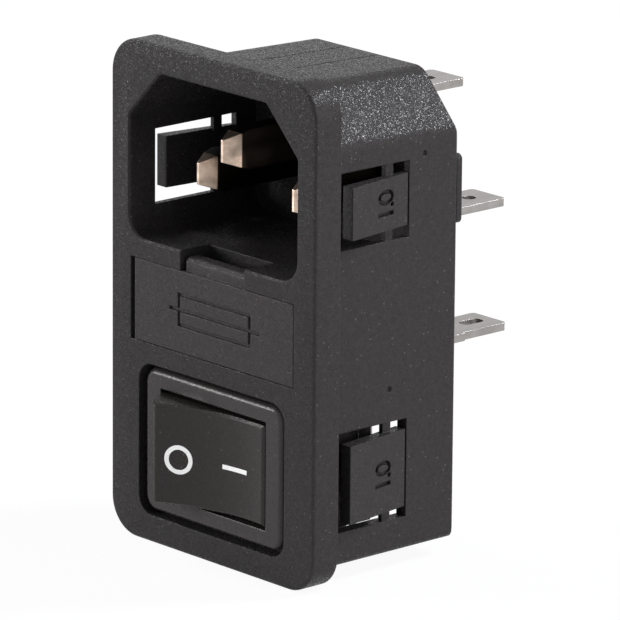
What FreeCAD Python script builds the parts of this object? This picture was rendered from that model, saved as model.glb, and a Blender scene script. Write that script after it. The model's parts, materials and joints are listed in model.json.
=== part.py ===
import FreeCAD, Part
import math
import os

import Sketcher

# A snap-in power entry module: a C14 inlet, a fuse drawer and a rocker switch in one panel housing.
# X is the width, +Y goes into the panel and +Z is up. The origin is on the rear plane of the flange,
# which is the panel seat, at the height of the inlet's centre.

Vector = FreeCAD.Vector

SIZES = {
    # flange
    "flangeSide": 2.0,
    "flangeHead": 2.16,
    "flangeFoot": 1.65,
    "flangeThick": 3.34,
    "flangeCorner": 3.65,
    "flangeFrontEdge": 0.35,
    "flangeBackEdge": 0.15,
    # body behind the panel
    "sideWall": 0.75,
    "topWall": 0.69,
    "floorWall": 1.14,
    "bodyDepth": 17.42,
    "bodyDraft": 0.5,
    "bevelWidth": 4.95,
    "bevelDrop": 5.37,
    "bevelUpperRound": 2.4,
    "bevelLowerRound": 2.0,
    "bodyLowerRound": 0.8,
    "bodyBackEdge": 0.7,
    "seamLeft": 2.85,
    "seamRight": 1.85,
    "seamWidth": 0.12,
    "seamDepth": 0.12,
    "seamFront": 5.6,
    "seamBack": 16.2,
    # inlet cavity
    "cavityWidth": 24.6,
    "cavityHeight": 17.0,
    "cavityBevelWidth": 4.6,
    "cavityBevelDrop": 4.7,
    "cavityBottomRound": 2.3,
    "cavityBevelRound": 0.5,
    "cavityRim": 0.18,
    "cavityBack": 13.2,
    "cavityBackWall": 1.2,
    # contact pins
    "pinWidth": 2.0,
    "pinHeight": 4.0,
    "pinPitch": 14.0,
    "pinDrop": 1.95,
    "earthRise": 2.1,
    "pinTip": 0.7,
    "earthTip": -2.3,
    "pinTipWidth": 0.85,
    "pinTipHeight": 2.0,
    "pinTaper": 1.8,
    "pinShoulder": 1.1,
    "pinShoulderHeight": 3.3,
    "tailRadius": 0.9,
    "rivetRadius": 1.4,
    "rivetHeight": 0.45,
    # terminal carrier
    "carrierMargin": 0.65,
    "carrierTop": 1.0,
    "carrierBottom": 5.95,
    "carrierProud": 0.87,
    "carrierRound": 0.55,
    "carrierEdge": 0.2,
    "towerWidth": 10.2,
    "towerTop": 7.9,
    "plugInset": 0.6,
    # quick-connect blades
    "bladeWidth": 4.8,
    "bladeThick": 0.8,
    "bladeReach": 9.61,
    "bladeCorner": 0.45,
    "bladeBevel": 0.18,
    "bladeHole": 0.72,
    "bladeHoleBack": 2.9,
    "earthBladeRise": 3.22,
    "neutralBladeDrop": 3.8,
    "neutralBladeShift": 0.9,
    "strapEnd": 1.8,
    "loadBladeSide": 6.5,
    "loadShoulder": 6.1,
    "loadShoulderWidth": 5.4,
    "loadSlot": 2.7,
    "loadSlotBack": 1.4,
    "loadSlotRound": 0.65,
    # panel latches
    "latchThick": 1.4,
    "latchFront": 2.02,
    "latchBack": 10.35,
    "latchProud": 1.32,
    "latchGap": 0.2,
    "upperLatchHeight": 5.22,
    "upperLatchDrop": 2.07,
    "upperLatchSlot": 1.21,
    "lowerLatchHeight": 7.85,
    "lowerLatchDrop": 0.46,
    "lowerLatchSlot": 1.07,
    "bridgeFront": 7.6,
    "bridgeWidth": 1.05,
    "bridgeThick": 0.5,
    "bridgeSetback": 0.25,
    "bridgeBite": 0.3,
    # fuse bay
    "bayGap": 1.97,
    "bayHeight": 8.4,
    "bayLedge": 0.75,
    "bayRecess": 2.44,
    "channelHeight": 7.45,
    "channelBack": 13.6,
    "lipPocketLeft": 4.62,
    "lipPocketRight": 4.82,
    "lipPocketBack": 0.45,
    "strapOpening": 3.9,
    "strapMargin": 0.15,
    "strapStep": 0.6,
    # fuse drawer
    "plateGapLeft": 0.55,
    "plateGapRight": 0.07,
    "plateGap": 0.04,
    "plateThick": 2.38,
    "plateEdge": 0.12,
    "lipGap": 0.55,
    "lipRise": 1.4,
    "lipSetback": 0.3,
    "lipThick": 1.5,
    "lipRound": 0.55,
    "trayFit": 0.4,
    "trayHeadroom": 0.175,
    "trayEndWall": 0.8,
    "trayBackFit": 0.2,
    "spareFrontWall": 0.76,
    "spareBackWall": 0.6,
    "cheekHeight": 5.9,
    "cradleWidth": 8.4,
    "cradleReach": 2.0,
    "cradleGrip": 0.25,
    "fuseFit": 0.1,
    # fuses
    "fuseLength": 20.0,
    "fuseRadius": 2.6,
    "fuseCapLength": 5.0,
    "fuseCapWall": 0.15,
    "fuseCapEnd": 0.5,
    "fuseGlassWall": 0.4,
    "fuseWireRadius": 0.12,
    # fuse clips
    "clipThick": 0.4,
    "clipWidth": 3.2,
    "clipInset": 0.4,
    "clipFit": 0.05,
    "clipReach": 1.8,
    "clipFlare": 0.45,
    "clipFlareLength": 0.9,
    # switch opening in the housing
    "switchGap": 2.04,
    "recessWidth": 21.56,
    "recessHeight": 15.5,
    "recessRound": 1.9,
    "recessDepth": 1.74,
    "ledgeWidth": 1.13,
    "ledgeThick": 2.2,
    "chamberWall": 1.35,
    "chamberRise": 0.31,
    "notchWidth": 14.0,
    "notchFront": 9.0,
    # switch frame
    "bezelSideGap": 0.58,
    "bezelEndGap": 0.45,
    "bezelSetback": 0.25,
    "bezelRound": 1.6,
    "bezelEdge": 0.6,
    "sleeveFit": 0.25,
    "sleeveBack": 7.6,
    "pivotDepth": 0.34,
    "pivotRadius": 1.1,
    "pivotFit": 0.05,
    "pivotLength": 0.75,
    "earHeight": 5.0,
    "earProud": 0.7,
    "earLength": 3.1,
    "earFit": 0.05,
    # rocker
    "rockerRadius": 8.4,
    "rockerHeight": 10.1,
    "rockerFace": 5.25,
    "rockerDish": 1.15,
    "rockerSkin": 1.1,
    "rockerSkirt": 0.9,
    "rockerEdge": 0.2,
    "rockerTilt": 13.15,
    "rockerEndGap": 0.12,
    "rockerSideGap": 0.43,
    "tubeWall": 0.75,
    "tubeBack": 3.2,
    "boreFit": 0.05,
    "boreFront": 2.2,
    # plunger and its spring
    "plungerRadius": 1.0,
    "plungerReach": 4.9,
    "plungerFront": 0.6,
    "springGap": 0.08,
    "springWire": 0.14,
    "springPitch": 0.56,
    # contact lever
    "leverGap": 0.14,
    "leverThick": 0.5,
    "leverReach": 5.0,
    "leverVee": 15.0,
    "leverWidth": 2.6,
    "leverTilt": 8.0,
    "contactSpot": 4.3,
    "contactRadius": 0.8,
    "contactThick": 0.3,
    "contactEdge": 0.15,
    # switch base and terminals
    "baseThick": 1.6,
    "baseBoss": 0.5,
    "baseFit": 0.1,
    "terminalReach": 8.4,
    "terminalFit": 0.04,
    "terminalEdgeWidth": 2.4,
    "loadTerminalSide": 6.2,
    "footReach": 2.8,
    "footThick": 0.5,
    "fixedContactRadius": 0.9,
    "fixedContactThick": 0.3,
    "stopHeight": 0.6,
    "stopSpot": 4.9,
    "stopWidth": 0.9,
}


class Size:
    """A number that also carries the spreadsheet expression it comes from."""

    def __init__(self, value, text):
        self.value = float(value)
        self.text = text

    def __add__(self, other):
        other = as_size(other)
        return Size(self.value + other.value, f"({self.text} + {other.text})")

    def __sub__(self, other):
        other = as_size(other)
        return Size(self.value - other.value, f"({self.text} - {other.text})")

    def __mul__(self, other):
        other = as_size(other)
        return Size(self.value * other.value, f"({self.text} * {other.text})")

    def __truediv__(self, other):
        other = as_size(other)
        return Size(self.value / other.value, f"({self.text} / {other.text})")

    def __neg__(self):
        return Size(-self.value, f"(0 - {self.text})")

    def __radd__(self, other):
        return as_size(other) + self

    def __rsub__(self, other):
        return as_size(other) - self

    def __rmul__(self, other):
        return as_size(other) * self


def as_size(number):
    """Wrap a plain number, so that it can be used where a Size is expected."""
    if isinstance(number, Size):
        return number
    return Size(number, f"({float(number)})")


def tangent(angle):
    return Size(math.tan(math.radians(angle.value)), f"tan({angle.text})")


def cosine(angle):
    return Size(math.cos(math.radians(angle.value)), f"cos({angle.text})")


def root(square):
    return Size(math.sqrt(square.value), f"sqrt({square.text})")


def fill_sheet(sheet, values):
    """Write each driving dimension into a row of the sheet and return them by name."""
    sizes = {}
    for row, (alias, value) in enumerate(values.items(), start=1):
        sheet.set(f"A{row}", alias)
        sheet.set(f"B{row}", str(value))
        sheet.setAlias(f"B{row}", alias)
        sizes[alias] = Size(value, f"dims.{alias}")
    return sizes


class Dimensions:
    """The driving dimensions as attributes."""

    def __init__(self, sizes):
        self.__dict__.update(sizes)


doc = FreeCAD.newDocument("power_entry_module")
sheet = doc.addObject("Spreadsheet::Sheet", "dims")
d = Dimensions(fill_sheet(sheet, SIZES))
doc.recompute()
pieces = {}


# ---- drawing helpers ----

PLANE_ROLES = {"x": "YZ_Plane", "y": "XZ_Plane", "z": "XY_Plane"}


def bind(item, path, size):
    item.setExpression(path, as_size(size).text)


def new_body(label):
    """A PartDesign body whose label is the node's name."""
    body = doc.addObject("PartDesign::Body", label)
    body.Label = label
    pieces[label] = body
    return body


def sketch_at(body, axis, at):
    """An empty sketch square to an axis, at a place along it."""
    plane = next(f for f in body.Origin.OriginFeatures if f.Role == PLANE_ROLES[axis])
    sketch = body.newObject("Sketcher::SketchObject", f"{body.Name}_sketch")
    sketch.AttachmentSupport = (plane, [""])
    sketch.MapMode = "FlatFace"
    # the XZ plane's normal points towards -Y
    bind(sketch, "AttachmentOffset.Base.z", -as_size(at) if axis == "y" else at)
    return sketch


def draw_polygon(sketch, points):
    """A closed outline whose corners are bound to the sheet."""
    count = len(points)
    first = len(sketch.Geometry)
    flat = [Vector(as_size(u).value, as_size(v).value, 0) for u, v in points]
    sketch.addGeometry([Part.LineSegment(flat[i], flat[(i + 1) % count]) for i in range(count)], False)
    joins = [
        Sketcher.Constraint("Coincident", first + i, 2, first + (i + 1) % count, 1) for i in range(count)
    ]
    sketch.addConstraint(joins)
    for i, (u, v) in enumerate(points):
        fix_point(sketch, first + i, 1, u, v)


def fix_point(sketch, geometry, end, u, v):
    for kind, size in (("DistanceX", u), ("DistanceY", v)):
        index = sketch.addConstraint(
            Sketcher.Constraint(kind, -1, 1, geometry, end, as_size(size).value)
        )
        bind(sketch, f"Constraints[{index}]", size)


class Circle:
    """A round outline for a sketch."""

    def __init__(self, u, v, radius):
        self.u, self.v, self.radius = u, v, radius


def draw_circle(sketch, circle):
    centre = Vector(as_size(circle.u).value, as_size(circle.v).value, 0)
    radius = as_size(circle.radius)
    index = sketch.addGeometry(Part.Circle(centre, Vector(0, 0, 1), radius.value), False)
    fix_point(sketch, index, 3, circle.u, circle.v)
    size = sketch.addConstraint(Sketcher.Constraint("Radius", index, radius.value))
    bind(sketch, f"Constraints[{size}]", radius)


def draw(sketch, outline):
    if isinstance(outline, Circle):
        draw_circle(sketch, outline)
    else:
        draw_polygon(sketch, outline)


def rectangle(u_low, u_high, v_low, v_high):
    return [(u_low, v_low), (u_high, v_low), (u_high, v_high), (u_low, v_high)]


def pad(body, axis, low, high, outline):
    """Add the outline's prism between two places along an axis."""
    low, high = as_size(low), as_size(high)
    sketch = sketch_at(body, axis, high if axis == "y" else low)
    draw(sketch, outline)
    feature = body.newObject("PartDesign::Pad", f"{body.Name}_pad")
    feature.Profile = sketch
    bind(feature, "Length", high - low)
    doc.recompute()
    return feature


def pocket(body, axis, low, high, outline):
    """Cut the outline's prism between two places along an axis."""
    low, high = as_size(low), as_size(high)
    sketch = sketch_at(body, axis, low if axis == "y" else high)
    draw(sketch, outline)
    before = body.Shape.Volume
    feature = body.newObject("PartDesign::Pocket", f"{body.Name}_pocket")
    feature.Profile = sketch
    bind(feature, "Length", high - low)
    doc.recompute()
    if not body.Shape.Volume < before:
        raise RuntimeError(f"a pocket in {body.Label} cuts nothing")
    return feature


def spot(*sizes):
    return Vector(*[as_size(size).value for size in sizes])


def edges_between(shape, ends):
    """Names of the edges that join any of the given pairs of points."""
    reach = 0.02
    names = []
    for index, edge in enumerate(shape.Edges, start=1):
        points = [vertex.Point for vertex in edge.Vertexes]
        if len(points) != 2:
            continue
        for a, b in ends:
            straight = points[0].distanceToPoint(a) < reach and points[1].distanceToPoint(b) < reach
            turned = points[1].distanceToPoint(a) < reach and points[0].distanceToPoint(b) < reach
            if straight or turned:
                names.append(f"Edge{index}")
    return names


def edges_on_plane(shape, axis, at, low, high):
    """Names of the edges that lie on a plane square to an axis, inside a box."""
    reach = 0.02
    place = as_size(at).value
    names = []
    for index, edge in enumerate(shape.Edges, start=1):
        box = edge.BoundBox
        flat = {"x": (box.XMin, box.XMax), "y": (box.YMin, box.YMax), "z": (box.ZMin, box.ZMax)}[axis]
        inside = (
            box.XMin > low.x - reach
            and box.YMin > low.y - reach
            and box.ZMin > low.z - reach
            and box.XMax < high.x + reach
            and box.YMax < high.y + reach
            and box.ZMax < high.z + reach
        )
        if abs(flat[0] - place) < reach and abs(flat[1] - place) < reach and inside:
            names.append(f"Edge{index}")
    return names


def dress(body, kind, radius, names):
    """Fillet or chamfer the named edges of the body's last feature."""
    if not names:
        raise RuntimeError(f"{body.Label} has no edge to dress")
    base = body.Tip
    feature = body.newObject(f"PartDesign::{kind}", f"{body.Name}_{kind.lower()}")
    feature.Base = (base, names)
    bind(feature, "Radius" if kind == "Fillet" else "Size", radius)
    doc.recompute()
    return feature


def bevel_edge(body, ends, across, down):
    """Bevel a long edge with unequal legs: one across the top face and one down the side face."""
    base = body.Tip
    name = edges_between(body.Shape, [ends])[0]
    first = body.Shape.ancestorsOfType(body.Shape.getElement(name), Part.Face)[0]
    legs = (down, across) if abs(first.normalAt(0, 0).x) > 0.5 else (across, down)
    feature = body.newObject("PartDesign::Chamfer", f"{body.Name}_bevel")
    feature.Base = (base, [name])
    feature.ChamferType = "Two distances"
    bind(feature, "Size", legs[0])
    bind(feature, "Size2", legs[1])
    doc.recompute()


def round_corners(body, radius, axis, low, high, corners):
    """Round the edges that run along an axis through the given corners."""
    ends = []
    for u, v in corners:
        if axis == "y":
            ends.append((spot(u, low, v), spot(u, high, v)))
        elif axis == "z":
            ends.append((spot(u, v, low), spot(u, v, high)))
        else:
            ends.append((spot(low, u, v), spot(high, u, v)))
    return dress(body, "Fillet", radius, edges_between(body.Shape, ends))


# ---- places that several pieces share ----

front = -d.flangeThick
cavity_half = d.cavityWidth / 2
cavity_top = d.cavityHeight / 2
cavity_floor = -d.cavityHeight / 2
body_half = cavity_half + d.sideWall
body_top = cavity_top + d.topWall

pin_side = d.pinPitch / 2
pin_level = -d.pinDrop
carrier_seat = d.cavityBack + d.cavityBackWall
carrier_back = d.bodyDepth + d.carrierProud
carrier_half = body_half - d.carrierMargin
strap_back = carrier_back + d.bladeThick
blade_tip = carrier_back + d.bladeReach

fuse_half = d.fuseLength / 2
fuse_room = d.fuseRadius + d.fuseFit
trough_half = fuse_half + d.fuseFit
tray_half = trough_half + d.trayEndWall
channel_half = tray_half + d.trayFit
bay_half = channel_half + d.bayLedge
bay_top = cavity_floor - d.bayGap
bay_bottom = bay_top - d.bayHeight
fuse_level = bay_top - d.bayHeight / 2
channel_top = fuse_level + d.channelHeight / 2
channel_bottom = fuse_level - d.channelHeight / 2
bay_floor = front + d.bayRecess
plate_back = front + d.plateThick
clip_front = d.channelBack - d.clipThick
main_axis = clip_front - d.trayBackFit - d.fuseRadius
spare_axis = plate_back + d.spareFrontWall + fuse_room
spare_back = spare_axis + fuse_room + d.spareBackWall
clip_half = d.fuseRadius + d.clipFit + d.clipThick
clip_outer = fuse_half - d.clipInset
clip_inner = clip_outer - d.clipWidth
clip_middle = clip_outer - d.clipWidth / 2
strap_low = fuse_level - clip_half + d.strapStep
load_blade_low = channel_bottom - d.bladeThick
load_root_half = d.loadShoulderWidth / 2

recess_half = d.recessWidth / 2
switch_level = bay_bottom - d.switchGap - d.recessHeight / 2
recess_top = switch_level + d.recessHeight / 2
recess_bottom = switch_level - d.recessHeight / 2
ledge_front = front + d.recessDepth
ledge_back = ledge_front + d.ledgeThick
hole_half = recess_half - d.ledgeWidth
hole_tall = d.recessHeight / 2 - d.ledgeWidth
sleeve_half = hole_half - d.sleeveFit
sleeve_tall = hole_tall - d.sleeveFit
bezel_front = front + d.bezelSetback
window_radius = d.rockerRadius + d.rockerEndGap
window_tall = d.rockerHeight / 2 + d.rockerSideGap
bore_radius = d.plungerRadius + d.boreFit
tube_radius = bore_radius + d.tubeWall
chamber_half = body_half - d.chamberWall
chamber_top = recess_top + d.chamberRise
chamber_bottom = recess_bottom
body_bottom = chamber_bottom - d.floorWall
base_back = d.sleeveBack + d.baseThick
boss_front = d.sleeveBack - d.baseBoss
lever_pivot = d.pivotDepth + d.plungerReach + d.plungerRadius + d.leverGap + d.leverThick / cosine(d.leverVee)
edge_front = lever_pivot + d.terminalFit
foot_front = edge_front + d.terminalFit * 4
terminal_tip = base_back + d.terminalReach

flange_half = body_half + d.flangeSide
flange_top = body_top + d.flangeHead
flange_bottom = body_bottom - d.flangeFoot
MARGIN = 0.5


def cavity_section():
    """The inlet's outline: a box with bevelled upper corners."""
    return [
        (-cavity_half, cavity_floor),
        (cavity_half, cavity_floor),
        (cavity_half, cavity_top - d.cavityBevelDrop),
        (cavity_half - d.cavityBevelWidth, cavity_top),
        (-cavity_half + d.cavityBevelWidth, cavity_top),
        (-cavity_half, cavity_top - d.cavityBevelDrop),
    ]


# ---- housing ----


def add_flange(body):
    corners = [
        (side * flange_half, level)
        for side in (-1, 1)
        for level in (flange_bottom, flange_top)
    ]
    pad(body, "y", front, 0, rectangle(-flange_half, flange_half, flange_bottom, flange_top))
    round_corners(body, d.flangeCorner, "y", front, 0, corners)
    low = spot(-flange_half, front, flange_bottom)
    high = spot(flange_half, 0, flange_top)
    dress(body, "Fillet", d.flangeFrontEdge, edges_on_plane(body.Shape, "y", front, low, high))
    dress(body, "Chamfer", d.flangeBackEdge, edges_on_plane(body.Shape, "y", 0, low, high))


def add_shell(body):
    """The body behind the panel, its top drafted, with its long edges rounded and its rear edges broken."""
    front_top = body_top + d.bodyDraft
    profile = [(0, body_bottom), (d.bodyDepth, body_bottom), (d.bodyDepth, body_top), (0, front_top)]
    pad(body, "x", -body_half, body_half, profile)
    for sign in (-1, 1):
        ends = (spot(sign * body_half, 0, front_top), spot(sign * body_half, d.bodyDepth, body_top))
        bevel_edge(body, ends, d.bevelWidth, d.bevelDrop)
    long_edges = (
        (d.bevelUpperRound, body_half - d.bevelWidth, 0),
        (d.bevelLowerRound, body_half, d.bevelDrop),
    )
    for radius, side, drop in long_edges:
        ends = [
            (spot(sign * side, 0, front_top - drop), spot(sign * side, d.bodyDepth, body_top - drop))
            for sign in (-1, 1)
        ]
        dress(body, "Fillet", radius, edges_between(body.Shape, ends))
    low_corners = [(sign * body_half, body_bottom) for sign in (-1, 1)]
    round_corners(body, d.bodyLowerRound, "y", 0, d.bodyDepth, low_corners)
    low = spot(-body_half, d.bodyDepth, body_bottom)
    high = spot(body_half, d.bodyDepth, body_top)
    dress(body, "Chamfer", d.bodyBackEdge, edges_on_plane(body.Shape, "y", d.bodyDepth, low, high))
    for side in (-d.seamLeft, d.seamRight):
        half = d.seamWidth / 2
        groove = rectangle(side - half, side + half, d.seamFront, d.seamBack)
        floor = body_top + d.bodyDraft * (d.bodyDepth - d.seamFront) / d.bodyDepth - d.seamDepth
        pocket(body, "z", floor, front_top + MARGIN, groove)


def cut_inlet(body):
    pocket(body, "y", front, d.cavityBack, cavity_section())
    floor_corners = [(sign * cavity_half, cavity_floor) for sign in (-1, 1)]
    round_corners(body, d.cavityBottomRound, "y", front, d.cavityBack, floor_corners)
    bevel_corners = []
    for sign in (-1, 1):
        bevel_corners.append((sign * (cavity_half - d.cavityBevelWidth), cavity_top))
        bevel_corners.append((sign * cavity_half, cavity_top - d.cavityBevelDrop))
    round_corners(body, d.cavityBevelRound, "y", front, d.cavityBack, bevel_corners)
    low, high = spot(-cavity_half, front, cavity_floor), spot(cavity_half, front, cavity_top)
    dress(body, "Chamfer", d.cavityRim, edges_on_plane(body.Shape, "y", front, low, high))
    half, tall = d.pinWidth / 2, d.pinHeight / 2
    for side, level in ((0, d.earthRise), (-pin_side, pin_level), (pin_side, pin_level)):
        hole = rectangle(side - half, side + half, level - tall, level + tall)
        pocket(body, "y", d.cavityBack, carrier_seat, hole)


def cut_carrier_seat(body):
    """The T-shaped socket in the rear that takes the carrier's plug."""
    half = carrier_half - d.plugInset
    low = -d.carrierBottom + d.plugInset
    high = d.carrierTop - d.plugInset
    pocket(body, "y", carrier_seat, d.bodyDepth, rectangle(-half, half, low, high))
    tower = d.towerWidth / 2 - d.plugInset
    pocket(body, "y", carrier_seat, d.bodyDepth, rectangle(-tower, tower, high, d.towerTop - d.plugInset))


def cut_fuse_bay(body):
    pocket(body, "y", front, bay_floor, rectangle(-bay_half, bay_half, bay_bottom, bay_top))
    channel = rectangle(-channel_half, channel_half, channel_bottom, channel_top)
    pocket(body, "y", bay_floor, d.channelBack, channel)
    lip_room = rectangle(-d.lipPocketLeft, d.lipPocketRight, channel_top, cavity_floor + MARGIN)
    pocket(body, "y", front, d.lipPocketBack, lip_room)
    half = d.strapOpening / 2
    opening = rectangle(-clip_middle - half, -clip_middle + half, strap_low, strap_low + d.strapOpening)
    pocket(body, "y", d.channelBack, d.bodyDepth, opening)
    slot = rectangle(
        d.loadBladeSide - load_root_half,
        d.loadBladeSide + load_root_half,
        load_blade_low,
        channel_bottom,
    )
    pocket(body, "y", clip_front, d.bodyDepth, slot)


def cut_switch_bay(body):
    recess = rectangle(-recess_half, recess_half, recess_bottom, recess_top)
    pocket(body, "y", front, ledge_front, recess)
    corners = [(side * recess_half, level) for side in (-1, 1) for level in (recess_bottom, recess_top)]
    round_corners(body, d.recessRound, "y", front, ledge_front, corners)
    hole = rectangle(-hole_half, hole_half, switch_level - hole_tall, switch_level + hole_tall)
    pocket(body, "y", ledge_front, ledge_back, hole)
    chamber = rectangle(-chamber_half, chamber_half, chamber_bottom, chamber_top)
    pocket(body, "y", ledge_back, d.bodyDepth, chamber)
    half = d.notchWidth / 2
    notch = rectangle(-half, half, d.notchFront, d.bodyDepth + MARGIN)
    pocket(body, "z", body_bottom - MARGIN, chamber_bottom, notch)


def latch_rows():
    """Level, half height and window half height of the upper and the lower latches."""
    upper, lower = d.upperLatchHeight / 2, d.lowerLatchHeight / 2
    return (
        (-d.upperLatchDrop, upper, upper + d.upperLatchSlot, cavity_half),
        (switch_level - d.lowerLatchDrop, lower, lower + d.lowerLatchSlot, chamber_half),
    )


def cut_windows(body):
    """The two windows in each side wall, round the panel latches."""
    back = d.latchBack + d.latchGap
    for level, leaf, window_half, inner in latch_rows():
        window = rectangle(0, back, level - window_half, level + window_half)
        pocket(body, "x", inner - MARGIN, body_half + MARGIN, window)
        pocket(body, "x", -body_half - MARGIN, -inner + MARGIN, window)


def add_latches(body):
    """The sprung latches: each one a leaf on two bridges, flush at the back and proud at the front."""
    bridge_back = d.bridgeFront + d.bridgeWidth
    bridge_half = body_half - d.bridgeSetback
    for level, leaf, window_half, inner in latch_rows():
        for sign in (-1, 1):
            near, far = bridge_half - d.bridgeThick, bridge_half
            bar = rectangle(sign * near, sign * far, d.bridgeFront, bridge_back)
            pad(body, "z", level + leaf - d.bridgeBite, level + window_half, bar)
            pad(body, "z", level - window_half, level - leaf + d.bridgeBite, bar)
            blade = [
                (sign * body_half, d.latchBack),
                (sign * (body_half + d.latchProud), d.latchFront),
                (sign * (body_half + d.latchProud - d.latchThick), d.latchFront),
                (sign * inner, d.latchBack),
            ]
            pad(body, "z", level - leaf, level + leaf, blade)


def build_housing():
    body = new_body("housing")
    add_flange(body)
    add_shell(body)
    cut_inlet(body)
    cut_carrier_seat(body)
    cut_fuse_bay(body)
    cut_switch_bay(body)
    cut_windows(body)
    add_latches(body)


# ---- inlet contacts ----


def build_pin(label, side, level, tip):
    """A contact pin with a tapered nose, and a tail riveted over behind its strap."""
    body = new_body(label)
    wide, tall = d.pinWidth / 2, d.pinHeight / 2
    outline = rectangle(side - wide, side + wide, level - tall, level + tall)
    pad(body, "y", tip, carrier_back, outline)
    shoulder = tip + d.pinTaper
    full = shoulder + d.pinShoulder
    ahead = tip - MARGIN
    for sign in (-1, 1):
        flank = [
            (side + sign * d.pinTipWidth / 2, ahead),
            (side + sign * d.pinTipWidth / 2, tip),
            (side + sign * wide, shoulder),
            (side + sign * (wide + MARGIN), shoulder),
            (side + sign * (wide + MARGIN), ahead),
        ]
        pocket(body, "z", level - tall, level + tall, flank)
        crown = [
            (ahead, level + sign * d.pinTipHeight / 2),
            (tip, level + sign * d.pinTipHeight / 2),
            (shoulder, level + sign * d.pinShoulderHeight / 2),
            (full, level + sign * tall),
            (full, level + sign * (tall + MARGIN)),
            (ahead, level + sign * (tall + MARGIN)),
        ]
        pocket(body, "x", side - wide, side + wide, crown)
    pad(body, "y", carrier_back, strap_back, Circle(side, level, d.tailRadius))
    pad(body, "y", strap_back, strap_back + d.rivetHeight, Circle(side, level, d.rivetRadius))


def build_carrier():
    """The rear carrier: a plug that fills the socket behind the inlet and a rounded cover plate."""
    body = new_body("terminal_carrier")
    half, tower = carrier_half, d.towerWidth / 2
    plate = [
        (-half, -d.carrierBottom),
        (half, -d.carrierBottom),
        (half, d.carrierTop),
        (tower, d.carrierTop),
        (tower, d.towerTop),
        (-tower, d.towerTop),
        (-tower, d.carrierTop),
        (-half, d.carrierTop),
    ]
    pad(body, "y", d.bodyDepth, carrier_back, plate)
    round_corners(body, d.carrierRound, "y", d.bodyDepth, carrier_back, plate)
    low, high = spot(-half, carrier_back, -d.carrierBottom), spot(half, carrier_back, d.towerTop)
    dress(body, "Chamfer", d.carrierEdge, edges_on_plane(body.Shape, "y", carrier_back, low, high))
    inset = d.plugInset
    plug = [
        (-half + inset, -d.carrierBottom + inset),
        (half - inset, -d.carrierBottom + inset),
        (half - inset, d.carrierTop - inset),
        (tower - inset, d.carrierTop - inset),
        (tower - inset, d.towerTop - inset),
        (-tower + inset, d.towerTop - inset),
        (-tower + inset, d.carrierTop - inset),
        (-half + inset, d.carrierTop - inset),
    ]
    pad(body, "y", carrier_seat, d.bodyDepth, plug)
    wide, tall = d.pinWidth / 2, d.pinHeight / 2
    for side, level in ((0, d.earthRise), (-pin_side, pin_level), (pin_side, pin_level)):
        hole = rectangle(side - wide, side + wide, level - tall, level + tall)
        pocket(body, "y", carrier_seat, carrier_back, hole)


def blade_outline(centre, half, root):
    """A blade from above: a strip with clipped corners at the tip."""
    return [
        (centre - half, root),
        (centre + half, root),
        (centre + half, blade_tip - d.bladeCorner),
        (centre + half - d.bladeCorner, blade_tip),
        (centre - half + d.bladeCorner, blade_tip),
        (centre - half, blade_tip - d.bladeCorner),
    ]


def bevel_tip(body, centre, top):
    """Bevel the tip's upper and lower edges, so that a receptacle slides on."""
    low = spot(centre - d.bladeWidth, blade_tip, top - d.bladeThick)
    high = spot(centre + d.bladeWidth, blade_tip, top)
    names = edges_on_plane(body.Shape, "z", top, low, high)
    names += edges_on_plane(body.Shape, "z", top - d.bladeThick, low, high)
    dress(body, "Chamfer", d.bladeBevel, names)


def build_bent_blade(label, centre, top, strap, tail):
    """A strap lying on the carrier, with a blade bent out from its end."""
    body = new_body(label)
    half = d.bladeWidth / 2
    low, high = strap
    pad(body, "y", carrier_back, strap_back, rectangle(centre - half, centre + half, low, high))
    pad(body, "z", top - d.bladeThick, top, blade_outline(centre, half, carrier_back))
    side, level = tail
    pocket(body, "y", carrier_back, strap_back, Circle(side, level, d.tailRadius))
    hole = Circle(centre, blade_tip - d.bladeHoleBack, d.bladeHole)
    pocket(body, "z", top - d.bladeThick, top, hole)
    bevel_tip(body, centre, top)


def clip_outline():
    """A fuse clip from the side: a base and two parallel arms with flared mouths."""
    back, base = d.channelBack, clip_front
    outer, inner = clip_half, clip_half - d.clipThick
    mouth = main_axis - d.clipReach
    flare = mouth - d.clipFlareLength
    upper = [
        (back, fuse_level + outer),
        (mouth, fuse_level + outer),
        (flare, fuse_level + outer + d.clipFlare),
        (flare, fuse_level + inner + d.clipFlare),
        (mouth, fuse_level + inner),
        (base, fuse_level + inner),
    ]
    lower = [
        (base, fuse_level - inner),
        (mouth, fuse_level - inner),
        (flare, fuse_level - inner - d.clipFlare),
        (flare, fuse_level - outer - d.clipFlare),
        (mouth, fuse_level - outer),
        (back, fuse_level - outer),
    ]
    return upper + lower


def build_line_parts():
    """The line pin's strap runs down the rear and feeds the left fuse clip."""
    clip = new_body("line_clip")
    pad(clip, "x", -clip_outer, -clip_inner, clip_outline())
    strap = new_body("line_strap")
    half = d.strapOpening / 2 - d.strapMargin
    top = pin_level + d.strapEnd
    outline = rectangle(-clip_middle - half, -pin_side + d.rivetRadius, strap_low, top)
    pad(strap, "y", carrier_back, strap_back, outline)
    tongue = rectangle(-clip_middle - half, -clip_middle + half, strap_low, strap_low + d.bladeThick)
    pad(strap, "y", d.channelBack, carrier_back, tongue)
    pocket(strap, "y", carrier_back, strap_back, Circle(-pin_side, pin_level, d.tailRadius))


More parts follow.
